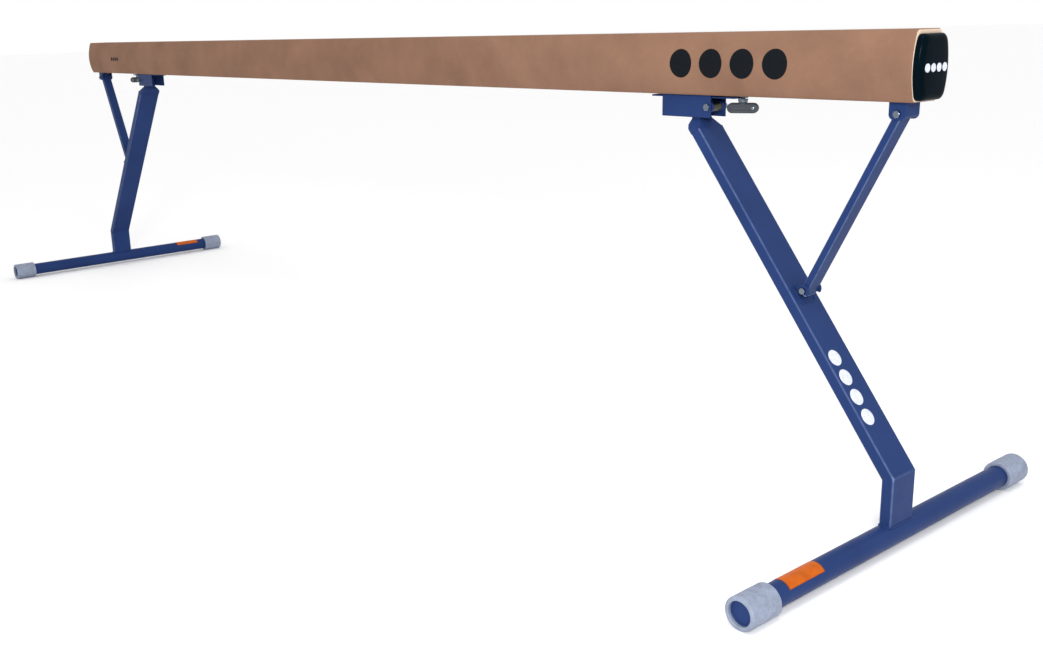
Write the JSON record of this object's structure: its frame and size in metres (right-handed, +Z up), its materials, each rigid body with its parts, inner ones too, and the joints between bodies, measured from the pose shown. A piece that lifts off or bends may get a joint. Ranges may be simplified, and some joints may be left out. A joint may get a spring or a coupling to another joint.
{
  "type": "balance beam",
  "caption": "Gymnastics balance beam with a padded suede cover on folding steel legs, each with a crossbar foot, a brace and a screw clamp.",
  "frame": {"origin": "on the floor under the middle of the beam", "axes": "+X along the beam, +Y across it, +Z up"},
  "size_m": [5.04, 1.218, 1.25],
  "materials": {
    "suede": "brushed synthetic suede",
    "foam": "closed-cell foam",
    "aluminium": "extruded, mill finish",
    "gloss_plastic": "moulded, glossy",
    "powder_coat": "powder-coated steel, satin",
    "rubber": "moulded grey rubber, matte",
    "zinc": "bright zinc-plated steel",
    "yellow_zinc": "yellow-passivated zinc-plated steel",
    "nylon": "turned nylon",
    "grip_plastic": "moulded plastic grip, satin"
  },
  "bodies": {
    "beam": {"beam_core": "aluminium", "foam_padding": "foam", "suede_cover": "suede", "right_end_cap": "gloss_plastic", "right_brace_bracket": "powder_coat", "right_bracket_screw_front": "zinc", "right_bracket_screw_rear": "zinc", "right_brace_top_bolt": "zinc", "right_brace_top_nut": "zinc", "right_clamp_insert": "zinc", "left_end_cap": "gloss_plastic", "left_brace_bracket": "powder_coat", "left_bracket_screw_front": "zinc", "left_bracket_screw_rear": "zinc", "left_brace_top_bolt": "zinc", "left_brace_top_nut": "zinc", "left_clamp_insert": "zinc"},
    "right_brace": {"right_brace_tube": "powder_coat", "right_brace_top_sleeve": "nylon", "right_brace_low_sleeve": "nylon"},
    "right_leg": {"right_leg_tube": "powder_coat", "right_leg_head": "powder_coat", "right_pivot_barrel": "yellow_zinc", "right_crossbar": "powder_coat", "right_crossbar_plug_front": "powder_coat", "right_crossbar_plug_rear": "powder_coat", "right_rubber_cup_front": "rubber", "right_rubber_cup_rear": "rubber", "right_leg_clevis": "powder_coat", "right_clevis_bolt": "zinc", "right_clevis_nut": "zinc"},
    "right_lock": {"right_lock_channel": "powder_coat", "right_lock_plate": "powder_coat", "right_lock_bolt": "zinc", "right_lock_nut": "zinc"},
    "right_clamp_collar": {"right_clamp_washer": "zinc"},
    "right_clamp_screw": {"right_clamp_screw": "zinc", "right_clamp_grip": "grip_plastic"},
    "left_brace": {"left_brace_tube": "powder_coat", "left_brace_top_sleeve": "nylon", "left_brace_low_sleeve": "nylon"},
    "left_leg": {"left_leg_tube": "powder_coat", "left_leg_head": "powder_coat", "left_pivot_barrel": "yellow_zinc", "left_crossbar": "powder_coat", "left_crossbar_plug_front": "powder_coat", "left_crossbar_plug_rear": "powder_coat", "left_rubber_cup_front": "rubber", "left_rubber_cup_rear": "rubber", "left_leg_clevis": "powder_coat", "left_clevis_bolt": "zinc", "left_clevis_nut": "zinc"},
    "left_lock": {"left_lock_channel": "powder_coat", "left_lock_plate": "powder_coat", "left_lock_bolt": "zinc", "left_lock_nut": "zinc"},
    "left_clamp_collar": {"left_clamp_washer": "zinc"},
    "left_clamp_screw": {"left_clamp_screw": "zinc", "left_clamp_grip": "grip_plastic"}
  },
  "joints": [
    {"name": "right_brace_fold", "type": "hinge", "parent": "beam", "child": "right_brace", "pos_m": [2.429, 0, 1.062], "axis": [0, 1, 0], "range_deg": [0, 56]},
    {"name": "right_leg_hinge", "type": "hinge", "parent": "right_brace", "child": "right_leg", "pos_m": [2.2, 0, 0.611], "axis": [0, 1, 0], "range_deg": [-106.1, 0]},
    {"name": "right_lock_hinge", "type": "hinge", "parent": "right_leg", "child": "right_lock", "pos_m": [1.88, 0, 1.058], "axis": [0, 1, 0], "range_deg": [0, 50.1]},
    {"name": "right_clamp_travel", "type": "slide", "parent": "beam", "child": "right_clamp_collar", "axis": [0, 0, 1], "range_m": [-0.0061, 0]},
    {"name": "right_clamp_turn", "type": "hinge", "parent": "right_clamp_collar", "child": "right_clamp_screw", "pos_m": [1.973, 0, 1.06], "axis": [0, 0, 1], "range_deg": [0, 1080]},
    {"name": "left_brace_fold", "type": "hinge", "parent": "beam", "child": "left_brace", "pos_m": [-2.429, 0, 1.062], "axis": [0, -1, 0], "range_deg": [0, 56]},
    {"name": "left_leg_hinge", "type": "hinge", "parent": "left_brace", "child": "left_leg", "pos_m": [-2.2, 0, 0.611], "axis": [0, -1, 0], "range_deg": [-106.1, 0]},
    {"name": "left_lock_hinge", "type": "hinge", "parent": "left_leg", "child": "left_lock", "pos_m": [-1.88, 0, 1.058], "axis": [0, -1, 0], "range_deg": [0, 50.1]},
    {"name": "left_clamp_travel", "type": "slide", "parent": "beam", "child": "left_clamp_collar", "axis": [0, 0, 1], "range_m": [-0.0061, 0]},
    {"name": "left_clamp_turn", "type": "hinge", "parent": "left_clamp_collar", "child": "left_clamp_screw", "pos_m": [-1.973, 0, 1.06], "axis": [0, 0, 1], "range_deg": [0, 1080]}
  ],
  "couplings": [
    {"joint": "right_leg_hinge", "follows": "right_brace_fold", "ratio": -1.8929},
    {"joint": "right_lock_hinge", "follows": "right_brace_fold", "ratio": 0.89286},
    {"joint": "right_clamp_travel", "follows": "right_clamp_turn", "m_per_rad": -0.00031831},
    {"joint": "left_leg_hinge", "follows": "left_brace_fold", "ratio": -1.8929},
    {"joint": "left_lock_hinge", "follows": "left_brace_fold", "ratio": 0.89286},
    {"joint": "left_clamp_travel", "follows": "left_clamp_turn", "m_per_rad": -0.00031831}
  ]
}
